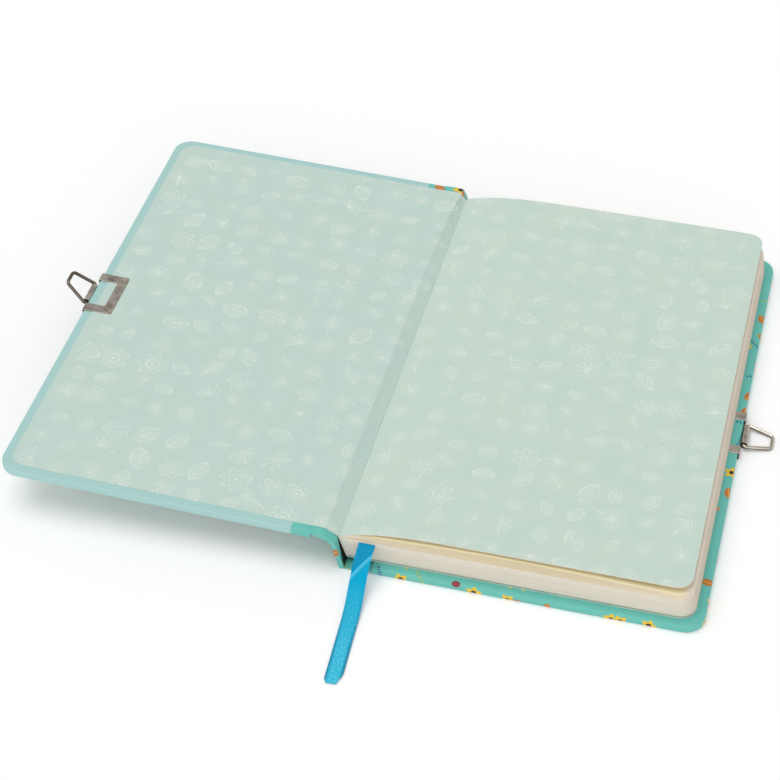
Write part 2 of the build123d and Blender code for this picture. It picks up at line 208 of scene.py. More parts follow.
@dataclass(frozen=True)
class Finish:
    """What every finish has: a name, a ground colour, and how it takes the light."""

    name: str
    ground: str
    roughness: float
    grain_mm: float = 0.5
    grain_height_mm: float = 0.01
    grain_strength: float = 0.6
    mottle: float = 0.04
    mottle_mm: float = 6.0

    def started(self) -> tuple[Graph, Any]:
        """Starts the material.

        Returns:
            Its tree, and the piece's own coordinates in millimetres.
        """
        graph = Graph(bpy.data.materials.new(self.name))
        place = graph.add("TexCoord").outputs["Object"]
        return graph, graph.add("VectorMath", {0: place, "Scale": 1 / MM}, operation="SCALE")

    def unfolded(self, graph: Graph, place: Any, level: float) -> bpy.types.Node:
        """Lays the sides of a sheet flat round its face, so that a print runs over its edges.

        A side's point moves out along its normal by its depth below the face.

        Args:
            graph: tree to add to.
            place: coordinates in millimetres.
            level: height of the face in millimetres.

        Returns:
            Node with the flat coordinates.
        """
        height = graph.add("SeparateXYZ", {0: place}).outputs[2]
        depth = graph.add("Math", {0: level, 1: height}, operation="SUBTRACT")
        normal = graph.add("NewGeometry").outputs["Normal"]
        out = graph.add("VectorMath", {0: normal, "Scale": depth}, operation="SCALE")
        return graph.add("VectorMath", {0: place, 1: out}, operation="ADD")

    def mottled(self, graph: Graph, place: Any) -> bpy.types.Node:
        """Swings the brightness of the ground colour a little, in patches, as paper and ink do.

        Args:
            graph: tree to add to.
            place: coordinates in millimetres.

        Returns:
            Node with the varied colour.
        """
        cloud = graph.add("TexNoise", {"Vector": place, "Scale": 1 / self.mottle_mm, "Detail": 3.0})
        value = graph.add("MapRange", {0: cloud, 3: 1 - self.mottle, 4: 1 + self.mottle})
        return graph.add("HueSaturation", {"Color": linear(self.ground), "Value": value})

    def closed(self, graph: Graph, place: Any, colour: Any, **sockets: Any) -> bpy.types.Material:
        """Adds the surface shader with a fine grain and closes the tree.

        Args:
            graph: tree to add to.
            place: coordinates in millimetres.
            colour: node or socket with the colour.
            sockets: more inputs of the shader, with _ for spaces.

        Returns:
            The finished material.
        """
        grain = graph.add("TexNoise", {"Vector": place, "Scale": 1 / self.grain_mm, "Detail": 2.0})
        relief = {"Distance": self.grain_height_mm * MM, "Strength": self.grain_strength}
        bump = graph.add("Bump", {"Height": grain, **relief})
        inputs = {"Base Color": colour, "Roughness": self.roughness, "Normal": bump}
        inputs |= {name.replace("_", " "): value for name, value in sockets.items()}
        shader = graph.add("BsdfPrincipled", inputs)
        graph.add("OutputMaterial", {0: shader})
        return graph.owner

    def make(self) -> bpy.types.Material:
        """Makes the plain version: the mottled ground with its grain."""
        graph, place = self.started()
        return self.closed(graph, place, self.mottled(graph, place))


class Side(Enum):
    """Where a print shows: all round, or only on the face that lies underneath."""

    ALL = "all"
    UNDER = "under"


@dataclass(frozen=True)
class PrintedPaper(Finish):
    """Offset print on coated paper with a matt film: even colour, a soft sheen, small loose motifs.

    The shares split the cells among leaves, blossoms, dark rows of dashes, pale ones and berries. A leaf's
    pair of sizes is its sides' offset and radius, a petal's its mean radius and swing, a row's its half
    length and half height, and a beat's half its step and where a dash begins.
    """

    mottle: float = 0.03
    mottle_mm: float = 9.0
    leaf: str = "#C9772E"
    rib: str = "#EDB64C"
    blossom: str = "#F4CC2B"
    heart: str = "#3B3234"
    dash: str = "#16618F"
    sprig: str = "#A9C23F"
    berry: str = "#93363C"
    pitch_mm: float = 9.2
    jitter: float = 0.7
    shares: tuple = (0.0, 0.26, 0.48, 0.68, 0.84, 1.0)
    leaf_mm: tuple = (1.8, 3.4)
    rib_mm: float = 0.17
    petals: int = 5
    petal_mm: tuple = (2.3, 0.6)
    heart_mm: float = 0.95
    row_mm: tuple = (3.6, 0.55)
    beat_mm: tuple = (0.65, 0.33)
    berry_mm: float = 1.6
    level_mm: float = 3.0
    side: Side = Side.ALL
    under: float = -0.5
    # Near-black painted shade for the spine's inner face in the hollow; empty for none.
    hollow_shade: str = ""
    inward: float = 0.6
    turn_in_mm: tuple = (104.2, 101.4)
    hollow_height_mm: tuple = (3.0, 13.0)

    def make(self) -> bpy.types.Material:
        """Draws leaves, blossoms, rows of dashes and berries on the ground.

        Returns:
            The finished material.
        """
        graph, place = self.started()
        add = graph.add
        net = Scatter(graph, self.unfolded(graph, place, self.level_mm), self.pitch_mm, self.jitter)
        offset, radius = self.leaf_mm
        body = add("Math", {0: net.leaf(offset), 1: radius}, operation="LESS_THAN")
        midrib = add("Math", {0: net.across, 1: 0.0, 2: self.rib_mm}, operation="COMPARE")
        inked = add("Math", {0: body, 1: midrib}, operation="MULTIPLY")
        outline = net.petals(self.petals, *self.petal_mm)
        petal = add("Math", {0: net.radius, 1: outline}, operation="LESS_THAN")
        heart = add("Math", {0: net.radius, 1: self.heart_mm}, operation="LESS_THAN")
        beat = add("Math", {0: net.along, 1: self.beat_mm[0]}, operation="PINGPONG")
        row = add("Math", {0: beat, 1: self.beat_mm[1]}, operation="GREATER_THAN")
        for side, half in zip((net.along, net.across), self.row_mm):
            near = add("Math", {0: side, 1: 0.0, 2: half}, operation="COMPARE")
            row = add("Math", {0: row, 1: near}, operation="MULTIPLY")
        berry = add("Math", {0: net.radius, 1: self.berry_mm}, operation="LESS_THAN")
        leaves, blossoms, dashes, sprigs, berries = zip(self.shares, self.shares[1:])
        layers = (
            (leaves, body, self.leaf),
            (leaves, inked, self.rib),
            (blossoms, petal, self.blossom),
            (blossoms, heart, self.heart),
            (dashes, row, self.dash),
            (sprigs, row, self.sprig),
            (berries, berry, self.berry),
        )
        down = None
        if self.side is Side.UNDER:
            normal = add("SeparateXYZ", {0: add("NewGeometry").outputs["Normal"]})
            down = add("Math", {0: normal.outputs[2], 1: self.under}, operation="LESS_THAN")
        colour = self.mottled(graph, place)
        for share, motif, ink in layers:
            mask = net.chosen(*share, motif)
            if down is not None:
                mask = add("Math", {0: mask, 1: down}, operation="MULTIPLY")
            colour = add("MixRGB", {0: mask, 1: colour, 2: linear(ink)})
        # Painted shade: the spine's inner face in the hollow is coloured near black.
        if self.hollow_shade:
            colour = add("MixRGB", {0: self.hollow_shade_mask(graph, place), 1: colour, 2: linear(self.hollow_shade)})
        return self.closed(graph, place, colour, IOR=1.5)

    def hollow_shade_mask(self, graph: Graph, place: Any) -> bpy.types.Node:
        """Finds the inner face between the mitred turn-ins, where the hollow's shade is painted near black.

        Args:
            graph: tree to add to.
            place: coordinates in millimetres.

        Returns:
            Node that is 1 on the liner.
        """
        add = graph.add
        sides = add("SeparateXYZ", {0: place})
        normal = add("SeparateXYZ", {0: add("NewGeometry").outputs["Normal"]})
        inner = add("Math", {0: normal.outputs[0], 1: self.inward}, operation="GREATER_THAN")
        spans = {(1, 2): self.hollow_height_mm, (3, 4): self.turn_in_mm}
        edge = add("MapRange", {0: sides.outputs[2], **spans})
        along = add("Math", {0: sides.outputs[1]}, operation="ABSOLUTE")
        inside = add("Math", {0: along, 1: edge.outputs[0]}, operation="LESS_THAN")
        return add("Math", {0: inner, 1: inside}, operation="MULTIPLY")


@dataclass(frozen=True)
class Endpaper(Finish):
    """Uncoated endpaper in a pale mint, printed with fine paler line drawings of flowers and leaves.

    Pairs of sizes are as in the covers' print, but a stem's is its foot and tip, with its frond's half widths
    there. Names in _at give the part of a cloud's range that a tone is spread over.
    """

    second: str = "#C9DCD1"
    line: str = "#E8F0E6"
    strength: float = 0.76
    fill: float = 0.18
    wash: float = 0.25
    pitch_mm: float = 12.6
    jitter: float = 0.42
    swell: float = 0.27
    stroke_mm: float = 0.25
    faint_mm: float = 3.5
    faint_at: tuple = (0.34, 0.66)
    faint: float = 0.15
    bloom_mm: tuple = (1.0, 5.4)
    patch_mm: float = 9.0
    patch_at: tuple = (0.36, 0.62)
    cloud_mm: float = 16.0
    cloud_at: tuple = (0.35, 0.65)
    petals: int = 7
    petal_mm: tuple = (3.9, 0.8)
    ring_mm: float = 1.9
    dot_mm: float = 0.5
    blade_mm: tuple = (2.8, 5.3)
    vein_mm: float = 0.95
    fine: float = 0.8
    spokes: float = 5.0
    spoke: float = 4.0
    tips: int = 9
    reach_mm: tuple = (4.6, 0.7)
    brim_mm: float = -0.5
    stem_mm: tuple = (-4.8, 5.2)
    frond_mm: tuple = (2.9, 0.2)
    twig_slant: float = -1.3
    twig_mm: float = 0.85

    def make(self) -> bpy.types.Material:
        """Draws petalled rings, veined leaves, fans of strokes and ferns, each with a faint fill.

        Returns:
            The finished material.
        """
        graph, place = self.started()
        add = graph.add
        net = Scatter(graph, place, self.pitch_mm, self.jitter, self.swell)
        aside = add("Math", {0: net.across}, operation="ABSOLUTE")
        motifs = (self.flower(net), self.leaf(net, aside), self.fan(net), self.fern(net, aside))
        share = 1 / len(motifs)
        drawn = net.chosen(0.0, share, motifs[0])
        for index, motif in enumerate(motifs[1:], start=1):
            here = net.chosen(index * share, (index + 1) * share, motif)
            drawn = add("Math", {0: drawn, 1: here}, operation="MAXIMUM")
        ink_wear_and_end_ramp = add("TexNoise", {"Vector": place, "Scale": 1 / self.faint_mm, "Detail": 3.0})
        inks = (self.faint * self.strength, self.strength)
        ink = add("MapRange", {0: ink_wear_and_end_ramp, (1, 2): self.faint_at, (3, 4): inks})
        mask = add("Math", {0: drawn, 1: ink.outputs[0]}, operation="MULTIPLY", use_clamp=True)
        fade = {(1, 2): self.bloom_mm, (3, 4): (1.0, 0.0)}
        bloom = add("MapRange", {0: net.radius, **fade}, interpolation_type="SMOOTHSTEP")
        patchy = add("TexNoise", {"Vector": place, "Scale": 1 / self.patch_mm, "Detail": 1.0})
        wash = add("MapRange", {0: patchy, (1, 2): self.patch_at, 4: self.wash})
        wash = add("Math", {0: bloom.outputs[0], 1: wash.outputs[0]}, operation="MULTIPLY")
        mask = add("Math", {0: mask, 1: wash}, operation="MAXIMUM")
        cloud = add("TexNoise", {"Vector": place, "Scale": 1 / self.cloud_mm, "Detail": 2.0})
        blend = add("MapRange", {0: cloud, (1, 2): self.cloud_at})
        tone = add("MixRGB", {0: blend.outputs[0], 1: linear(self.ground), 2: linear(self.second)})
        colour = add("MixRGB", {0: mask, 1: tone, 2: linear(self.line)})
        return self.closed(graph, place, colour, IOR=1.45, Specular_IOR_Level=0.3)

    def filled(self, net: Scatter, strokes: Any, inside: Any) -> bpy.types.Node:
        """Lays a faint fill under a motif's strokes.

        Args:
            net: the motif's cells.
            strokes: node that is 1 on the strokes.
            inside: node that is 1 inside the motif.

        Returns:
            Node with the larger of strokes and fill.
        """
        wash = net.graph.add("Math", {0: inside, 1: self.fill}, operation="MULTIPLY")
        return net.graph.add("Math", {0: strokes, 1: wash}, operation="MAXIMUM")

    def flower(self, net: Scatter) -> bpy.types.Node:
        """Petalled outline round a ring and a dot.

        Args:
            net: the motif's cells.

        Returns:
            Node with the ink's share.
        """
        add = net.graph.add
        edge = net.petals(self.petals, *self.petal_mm)
        rim = add("Math", {0: net.radius, 1: edge, 2: self.stroke_mm}, operation="COMPARE")
        ring = add("Math", {0: net.radius, 1: self.ring_mm, 2: self.stroke_mm}, operation="COMPARE")
        dot = add("Math", {0: net.radius, 1: self.dot_mm}, operation="LESS_THAN")
        lines = add("Math", {0: rim, 1: ring}, operation="MAXIMUM")
        lines = add("Math", {0: lines, 1: dot}, operation="MAXIMUM")
        return self.filled(net, lines, add("Math", {0: net.radius, 1: edge}, operation="LESS_THAN"))

    def leaf(self, net: Scatter, aside: Any) -> bpy.types.Node:
        """Pointed leaf with a midrib and slanting veins.

        Args:
            net: the motif's cells.
            aside: distance from the motif's midline.

        Returns:
            Node with the ink's share.
        """
        add = net.graph.add
        offset, radius = self.blade_mm
        blade = net.leaf(offset)
        outline = add("Math", {0: blade, 1: radius, 2: self.stroke_mm}, operation="COMPARE")
        inside = add("Math", {0: blade, 1: radius}, operation="LESS_THAN")
        slant = add("Math", {0: net.along, 1: aside}, operation="ADD")
        beat = add("Math", {0: slant, 1: self.vein_mm}, operation="PINGPONG")
        vein = add("Math", {0: beat, 1: self.stroke_mm * self.fine}, operation="LESS_THAN")
        midrib = add("Math", {0: aside, 1: self.stroke_mm * self.fine}, operation="LESS_THAN")
        veins = add("Math", {0: vein, 1: midrib}, operation="MAXIMUM")
        veins = add("Math", {0: veins, 1: inside}, operation="MULTIPLY")
        return self.filled(net, add("Math", {0: outline, 1: veins}, operation="MAXIMUM"), inside)

    def fan(self, net: Scatter) -> bpy.types.Node:
        """Half a burst of strokes from one bright point.

        Args:
            net: the motif's cells.

        Returns:
            Node with the ink's share.
        """
        add = net.graph.add
        wave = add("Math", {0: net.angle, 1: self.spokes}, operation="MULTIPLY")
        spoke = add("Math", {0: add("Math", {0: wave}, operation="SINE")}, operation="ABSOLUTE")
        spoke = add("Math", {0: spoke, 1: net.radius}, operation="MULTIPLY")
        spoke = add("Math", {0: spoke, 1: self.stroke_mm * self.spoke}, operation="LESS_THAN")
        edge = net.petals(self.tips, *self.reach_mm)
        reach = add("Math", {0: net.radius, 1: edge}, operation="LESS_THAN")
        half = add("Math", {0: net.across, 1: self.brim_mm}, operation="GREATER_THAN")
        bowl = add("Math", {0: reach, 1: half}, operation="MULTIPLY")
        return self.filled(net, add("Math", {0: spoke, 1: bowl}, operation="MULTIPLY"), bowl)

    def fern(self, net: Scatter, aside: Any) -> bpy.types.Node:
        """Stem with twigs that shorten to the tip.

        Args:
            net: the motif's cells.
            aside: distance from the motif's midline.

        Returns:
            Node with the ink's share.
        """
        add = net.graph.add
        foot, tip = self.stem_mm
        width = add("MapRange", {0: net.along, (1, 2): self.stem_mm, (3, 4): self.frond_mm})
        inside = add("Math", {0: aside, 1: width.outputs[0]}, operation="LESS_THAN")
        long = add("Math", {0: net.along, 1: (foot + tip) / 2, 2: (tip - foot) / 2}, operation="COMPARE")
        inside = add("Math", {0: inside, 1: long}, operation="MULTIPLY")
        slant = add("Math", {0: aside, 1: self.twig_slant, 2: net.along}, operation="MULTIPLY_ADD")
        beat = add("Math", {0: slant, 1: self.twig_mm}, operation="PINGPONG")
        twig = add("Math", {0: beat, 1: self.stroke_mm}, operation="LESS_THAN")
        stem = add("Math", {0: aside, 1: self.stroke_mm * self.fine}, operation="LESS_THAN")
        lines = add("Math", {0: twig, 1: stem}, operation="MAXIMUM")
        return add("Math", {0: lines, 1: inside}, operation="MULTIPLY")


@dataclass(frozen=True)
class PageStock(Finish):
    """Cream book paper: matt ruled faces with a painted warm glow of light bounced between leaves, fading to
    the paler ground at the fore edge; cut edges show leaves as fine lines.
    """

    # Level faces: a golden painted warm glow that stands for light bounced between the leaves.
    face: str = "#FAEEC9"
    rule: str = "#D3CDBB"
    fore_mm: tuple = (57.0, 59.5)
    rule_pitch_mm: float = 7.0
    rule_mm: float = 0.1
    rule_ink: float = 0.7
    leaf_mm: float = 0.28
    streak_mm: float = 30.0
    streak_at: tuple = (0.3, 0.7)
    streak: tuple = (0.9, 1.03)
    cloud_mm: float = 12.0
    cloud: float = 0.03
    level: float = 0.8

    def make(self) -> bpy.types.Material:
        """Draws rules on level faces and leaf lines on upright ones, coarser than the leaves to show.

        Returns:
            The finished material.
        """
        graph, place = self.started()
        add = graph.add
        sides = add("SeparateXYZ", {0: place})
        normal = add("SeparateXYZ", {0: add("NewGeometry").outputs["Normal"]})
        steep = add("Math", {0: normal.outputs[2]}, operation="ABSOLUTE")
        level = add("Math", {0: steep, 1: self.level}, operation="GREATER_THAN")
        beat = add("Math", {0: sides.outputs[1], 1: self.rule_pitch_mm / 2}, operation="PINGPONG")
        rule = add("Math", {0: beat, 1: self.rule_mm}, operation="LESS_THAN")
        for share in (level, self.rule_ink):
            rule = add("Math", {0: rule, 1: share}, operation="MULTIPLY")
        pitches = (1 / self.streak_mm, 1 / self.streak_mm, 1 / self.leaf_mm)
        stretch = add("VectorMath", {0: place, 1: pitches}, operation="MULTIPLY")
        leaves = add("TexNoise", {"Vector": stretch, "Scale": 1.0, "Detail": 2.0})
        shade = add("MapRange", {0: leaves, (1, 2): self.streak_at, (3, 4): self.streak})
        edge = add("HueSaturation", {"Color": linear(self.ground), "Value": shade})
        cloud = add("TexNoise", {"Vector": place, "Scale": 1 / self.cloud_mm, "Detail": 2.0})
        value = add("MapRange", {0: cloud, 3: 1 - self.cloud, 4: 1 + self.cloud})
        # Painted warm light: level faces take the golden face colour, fading to the ground colour at the fore
        # edge.
        fore = add("MapRange", {0: sides.outputs[0], (1, 2): self.fore_mm})
        face = add("MixRGB", {0: fore.outputs[0], 1: linear(self.face), 2: linear(self.ground)})
        face = add("HueSaturation", {"Color": face, "Value": value})
        colour = add("MixRGB", {0: level, 1: edge, 2: face})
        colour = add("MixRGB", {0: rule, 1: colour, 2: linear(self.rule)})
        return self.closed(graph, place, colour, IOR=1.45, Specular_IOR_Level=0.2)


@dataclass(frozen=True)
class SatinRibbon(Finish):
    """Woven polyester satin: crosswise ribs and dark selvedges, painted shade above a slanted line, a painted
    highlight along it, painted sheen streaks, and a paler far end.
    """

    grain_strength: float = 0.35
    # Colour of the painted highlight and the painted sheen streaks.
    light: str = "#7ADBF2"
    pale: str = "#38C1E2"
    # Colour of the painted shade on the part above the slanted line.
    dark: str = "#0095C2"
    selvedge: str = "#007EA6"
    half_mm: float = 3.05
    selvedge_mm: float = 1.4
    rib_mm: float = 0.4
    rib_height_mm: float = 0.25
    # Stretch and range of the noise for the painted sheen streaks.
    sheen_stretch: tuple = (1.5, 1.1, 1.0)
    sheen_at: tuple = (0.5, 0.66)
    # Where the painted shade ends along the band, and half the width of its soft edge.
    painted_shade_line_mm: float = 8.2
    painted_shade_soft_mm: float = 0.5
    slant: float = -1.5
    # Width and strength of the painted highlight just past the shade line.
    streak_mm: float = 2.4
    streak: float = 0.7
    # Run along the band over which it turns paler towards its far end.
    end_ramp_mm: tuple = (14.0, 44.0)

    def make(self) -> bpy.types.Material:
        """Draws ribs, painted shade, a painted highlight and painted sheen streaks on the band's own map, in
        millimetres; the ribs are drawn coarse to show.

        Returns:
            The finished material.
        """
        graph = Graph(bpy.data.materials.new(self.name))
        add = graph.add
        band = add("UVMap", uv_map="band")
        stretch = add("VectorMath", {0: band, 1: self.sheen_stretch}, operation="MULTIPLY")
        streak = add("TexNoise", {"Vector": stretch, "Scale": 1.0, "Detail": 4.0, "Roughness": 0.65})
        sides = add("SeparateXYZ", {0: band})
        along = sides.outputs[1]
        aside = add("Math", {0: sides.outputs[0]}, operation="ABSOLUTE")
        # A ramp along the band: paler towards its far end, with darker selvedges and more painted sheen
        # streaks there.
        ink_wear_and_end_ramp = add("MapRange", {0: along, (1, 2): self.end_ramp_mm})
        share = add("MapRange", {0: streak, (1, 2): self.sheen_at, 4: ink_wear_and_end_ramp.outputs[0]})
        # Painted shade: the band is darker before a slanted line near where it leaves the block.
        slide = add("Math", {0: sides.outputs[0], 1: self.slant, 2: along}, operation="MULTIPLY_ADD")
        start, end = self.painted_shade_line_mm - self.painted_shade_soft_mm, self.painted_shade_line_mm + self.painted_shade_soft_mm
        below = add("MapRange", {0: slide, 1: start, 2: end})
        tone = add("MixRGB", {0: below.outputs[0], 1: linear(self.dark), 2: linear(self.ground)})
        tone = add("MixRGB", {0: ink_wear_and_end_ramp.outputs[0], 1: tone, 2: linear(self.pale)})
        edge = add("MapRange", {0: aside, 1: self.half_mm - self.selvedge_mm, 2: self.half_mm})
        edge = add("Math", {0: edge.outputs[0], 1: ink_wear_and_end_ramp.outputs[0]}, operation="MULTIPLY")
        # Painted highlight just past that line, and painted sheen streaks from the noise, both in the light
        # colour.
        span = {1: self.painted_shade_line_mm, 2: self.painted_shade_line_mm + self.streak_mm, 3: self.streak, 4: 0.0}
        crest = add("MapRange", {0: slide, **span})
        painted_sheen = add("Math", {0: share.outputs[0], 1: crest.outputs[0]}, operation="MAXIMUM")
        painted_sheen = add("Math", {0: painted_sheen, 1: below.outputs[0]}, operation="MULTIPLY")
        colour = add("MixRGB", {0: painted_sheen, 1: tone, 2: linear(self.light)})
        colour = add("MixRGB", {0: edge, 1: colour, 2: linear(self.selvedge)})
        rib = add("Math", {0: along, 1: self.rib_mm / 2}, operation="PINGPONG")
        relief = {"Distance": self.rib_height_mm * MM, "Strength": self.grain_strength}
        bump = add("Bump", {"Height": rib, **relief})
        inputs = {"Base Color": colour, "Roughness": self.roughness, "Normal": bump}
        inputs |= {"IOR": 1.5, "Specular IOR Level": 0.08}
        add("OutputMaterial", {0: add("BsdfPrincipled", inputs)})
        return graph.owner


@dataclass(frozen=True)
class NickelSteel(Finish):
    """Stamped steel with a nickel plate: warm grey, brushed, tarnished in patches, with painted shade on its
    walls and undersides.
    """

    grain_strength: float = 0.2
    tarnish: str = "#54483F"
    tarnish_mm: float = 5.0
    tarnish_at: tuple = (0.42, 0.68)
    tarnish_share: float = 0.5
    # Colour of the painted shade on walls and undersides.
    edge: str = "#211C18"
    edge_mm: float = 0.25
    # Share of that painted shade, and the rounded normal's heights over which it fades in.
    painted_shade_share: float = 0.9
    painted_wall_shade: tuple = (0.5, 0.05)
    brush: tuple = (2.5, 0.4, 2.5)
    brush_rough: tuple = (-0.06, 0.1)

    def make(self) -> bpy.types.Material:
        """Mixes tarnish in by a cloud, paints shade on upright walls and undersides, and brushes the
        roughness.

        Returns:
            The finished material.
        """
        graph, place = self.started()
        add = graph.add
        cloud = add("TexNoise", {"Vector": place, "Scale": 1 / self.tarnish_mm, "Detail": 3.0})
        share = add("MapRange", {0: cloud, (1, 2): self.tarnish_at, 4: self.tarnish_share})
        colour = add("MixRGB", {0: share.outputs[0], 1: linear(self.ground), 2: linear(self.tarnish)})
        rolled = add("Bevel", {"Radius": self.edge_mm * MM}, samples=8)
        turns = {"vector_type": "NORMAL", "convert_from": "WORLD", "convert_to": "OBJECT"}
        own = add("VectorTransform", {0: rolled}, **turns)
        rise = add("SeparateXYZ", {0: own}).outputs[2]
        # Painted shade: where the rounded normal turns sideways or down, the colour goes to the dark edge
        # colour.
        painted_wall_shade = add("MapRange", {0: rise, (1, 2): self.painted_wall_shade, 4: self.painted_shade_share})
        colour = add("MixRGB", {0: painted_wall_shade.outputs[0], 1: colour, 2: linear(self.edge)})
        stretch = add("VectorMath", {0: place, 1: self.brush}, operation="MULTIPLY")
        brush = add("TexNoise", {"Vector": stretch, "Scale": 1.0, "Detail": 2.0})
        low, high = (self.roughness + step for step in self.brush_rough)
        rough = add("MapRange", {0: brush, 3: low, 4: high})
        relief = {"Distance": self.grain_height_mm * MM, "Strength": self.grain_strength}
        bump = add("Bump", {"Height": brush, "Normal": rolled, **relief})
        inputs = {"Base Color": colour, "Metallic": 1.0, "Roughness": rough.outputs[0], "Normal": bump}
        add("OutputMaterial", {0: add("BsdfPrincipled", inputs)})
        return graph.owner


def carried(outline: Grid, stations: Grid) -> Grid:
    """Carries an upright profile along Y.

    Args:
        outline: profile points in X and Z, in millimetres, one row each.
        stations: Y of each copy, in millimetres.

    Returns:
        Grid of points in millimetres: profile points by stations by 3.
    """
    shape = (len(outline), len(stations))
    x = np.broadcast_to(outline[:, :1], shape)
    z = np.broadcast_to(outline[:, 1:], shape)
    return np.stack([x, np.broadcast_to(stations, shape), z], axis=-1)


def curve_through(points: Sequence[tuple[float, float]], count: int) -> Grid:
    """Parabola through three points, or a straight line through two.

    Args:
        points: X and Z in millimetres.
        count: number of points of the result.

    Returns:
        Points on the curve: a sum of the given ones, each weighted by 1 at itself and 0 at the others.
    """
    knots = np.array(points, float)
    steps = np.concatenate([[0], np.cumsum(np.linalg.norm(np.diff(knots, axis=0), axis=1))])
    steps /= steps[-1]
    at = np.linspace(0, 1, count)
    total = np.zeros((count, 2))
    for index, knot in enumerate(knots):
        others = np.delete(steps, index)
        share = np.prod((at[:, None] - others) / (steps[index] - others), axis=1)
        total += share[:, None] * knot
    return total


def rounded(radius: float, count: int = 9) -> tuple[Grid, Grid]:
    """Quarter circle at a leaf's fore corner.

    Args:
        radius: its radius in millimetres.
        count: number of points on it.

    Returns:
        How far each point lies past the start, the radius times its sine, and how far it is drawn in, the
        radius less its cosine's part.
    """
    turn = np.linspace(0, math.pi / 2, count)
    return radius * np.sin(turn), radius * (1 - np.cos(turn))


@dataclass
class Piece:
    """Mesh under construction: points in millimetres, faces, and the finish of each face."""

    name: str
    points: list[Grid] = field(default_factory=list)
    faces: list[Grid] = field(default_factory=list)
    marks: list[Grid] = field(default_factory=list)
    sharp: float = 35.0

    def shell(self, upper: Grid, lower: Grid, upper_mark: int = 0, lower_mark: int = 0) -> None:
        """Adds a closed sheet between two grids: both faces and the rim between their borders.

        Args:
            upper: grid whose rows, then columns, turn anticlockwise seen from its outer side.
            lower: grid of the same shape behind it.
            upper_mark: finish number of the upper face.
            lower_mark: finish number of the lower face and the rim.
        """
        rows, columns = upper.shape[:2]
        start = sum(len(part) for part in self.points)
        index = start + np.arange(rows * columns).reshape(rows, columns)
        corner, right = index[:-1, :-1].ravel(), index[1:, :-1].ravel()
        over, across = index[:-1, 1:].ravel(), index[1:, 1:].ravel()
        front = np.stack([corner, right, across, over], axis=1)
        back = front[:, ::-1] + rows * columns
        ring = np.concatenate([index[:, 0], index[-1, 1:], index[-2::-1, -1], index[0, -2:0:-1]])
        after = np.roll(ring, -1)
        rim = np.stack([after, ring, ring + rows * columns, after + rows * columns], axis=1)
        self.points += [upper.reshape(-1, 3), lower.reshape(-1, 3)]
        self.faces += [front, back, rim]
        self.marks += [np.full(len(front), upper_mark), np.full(len(back) + len(rim), lower_mark)]

    def done(self, finishes: Iterable[bpy.types.Material], slot: str) -> bpy.types.Object:
        """Makes the object, at the origin, from what was added.

        Args:
            finishes: materials in the order of the finish numbers.
            slot: material slot of the record that the piece belongs to; not used.

        Returns:
            The new object, linked to the scene.
        """
        mesh = bpy.data.meshes.new(self.name)
        points = np.concatenate(self.points) * MM
        mesh.from_pydata(points.tolist(), [], np.concatenate(self.faces).tolist())
        for finish in finishes:
            mesh.materials.append(finish)
        mesh.polygons.foreach_set("material_index", np.concatenate(self.marks).astype(np.int32))
        mesh.polygons.foreach_set("use_smooth", np.ones(len(mesh.polygons), bool))
        mesh.set_sharp_from_angle(angle=math.radians(self.sharp))
        mesh.update()
        piece = bpy.data.objects.new(self.name, mesh)
        bpy.context.scene.collection.objects.link(piece)
        LOG.info("built %s with %d faces", self.name, len(mesh.polygons))
        return piece


def dress(finish: bpy.types.Material, *nodes: str) -> None:
    """Gives CAD nodes a finish.

    Args:
        finish: the material.
        nodes: names of the nodes.
    """
    for name in nodes:
        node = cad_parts[name]
        if not node.material_slots:
            node.data.materials.append(finish)
        for slot in node.material_slots:
            slot.material = finish


@dataclass(frozen=True)
class Palette:
    """All finishes of the diary."""

    turquoise: bpy.types.Material
    aqua: bpy.types.Material
    endpaper: bpy.types.Material
    flyleaf: bpy.types.Material
    page: bpy.types.Material
    block: bpy.types.Material
    spine: bpy.types.Material
    ribbon: bpy.types.Material
    ribbon_run: bpy.types.Material
    steel: bpy.types.Material
    wire: bpy.types.Material
    board: bpy.types.Material
    lining: bpy.types.Material
    thread: bpy.types.Material

    @classmethod
    def mixed(cls) -> "Palette":
        """Makes every finish."""
        return cls(
            turquoise=PrintedPaper("printed_turquoise_paper", "#6AC6BB", 0.42).make(),
            aqua=PrintedPaper("printed_aqua_paper", "#ADD5D1", 0.42, side=Side.UNDER).make(),
            endpaper=Endpaper("mint_endpaper", "#C5DCD4", 0.62).make(),
            # A lighter copy of the endpaper paper for the flyleaf, which is the same sheet: painted light.
            flyleaf=Endpaper("mint_endpaper_painted_lighter", "#CADED3", 0.62, second="#CEDED1").make(),
            # The loose leaves and the top section carry the stronger painted warm glow.
            page=PageStock("cream_loose_leaf", "#F2E8DA", 0.75).make(),
            block=PageStock("cream_book_block", "#EFE6D8", 0.75, face="#F6ECD9").make(),
            # The spine paper carries the painted shade of the hollow.
            spine=PrintedPaper("spine_paper_painted_hollow_shade", "#6AC6BB", 0.42, hollow_shade="#17231F").make(),
            ribbon=SatinRibbon("satin_ribbon", "#00AAD4", 0.42).make(),
            ribbon_run=Finish("satin_inner_run", "#0B9BCB", 0.42, 0.4, 0.02).make(),
            steel=NickelSteel("nickel_steel", "#E4DACB", 0.2, grain_height_mm=0.0006).make(),
            # A darker copy of the nickel steel: painted shade for the front loop, the same part as the back
            # loop.
            wire=NickelSteel("nickel_steel_painted_darker", "#8C8175", 0.2, grain_height_mm=0.0006).make(),
            board=Finish("greyboard", "#9A9188", 0.85, 0.8, 0.04).make(),
            lining=Finish("gauze_lining", "#E9E4D8", 0.85, 0.6, 0.05).make(),
            thread=Finish("linen_thread", "#F1EDE2", 0.7, 0.15, 0.03).make(),
        )


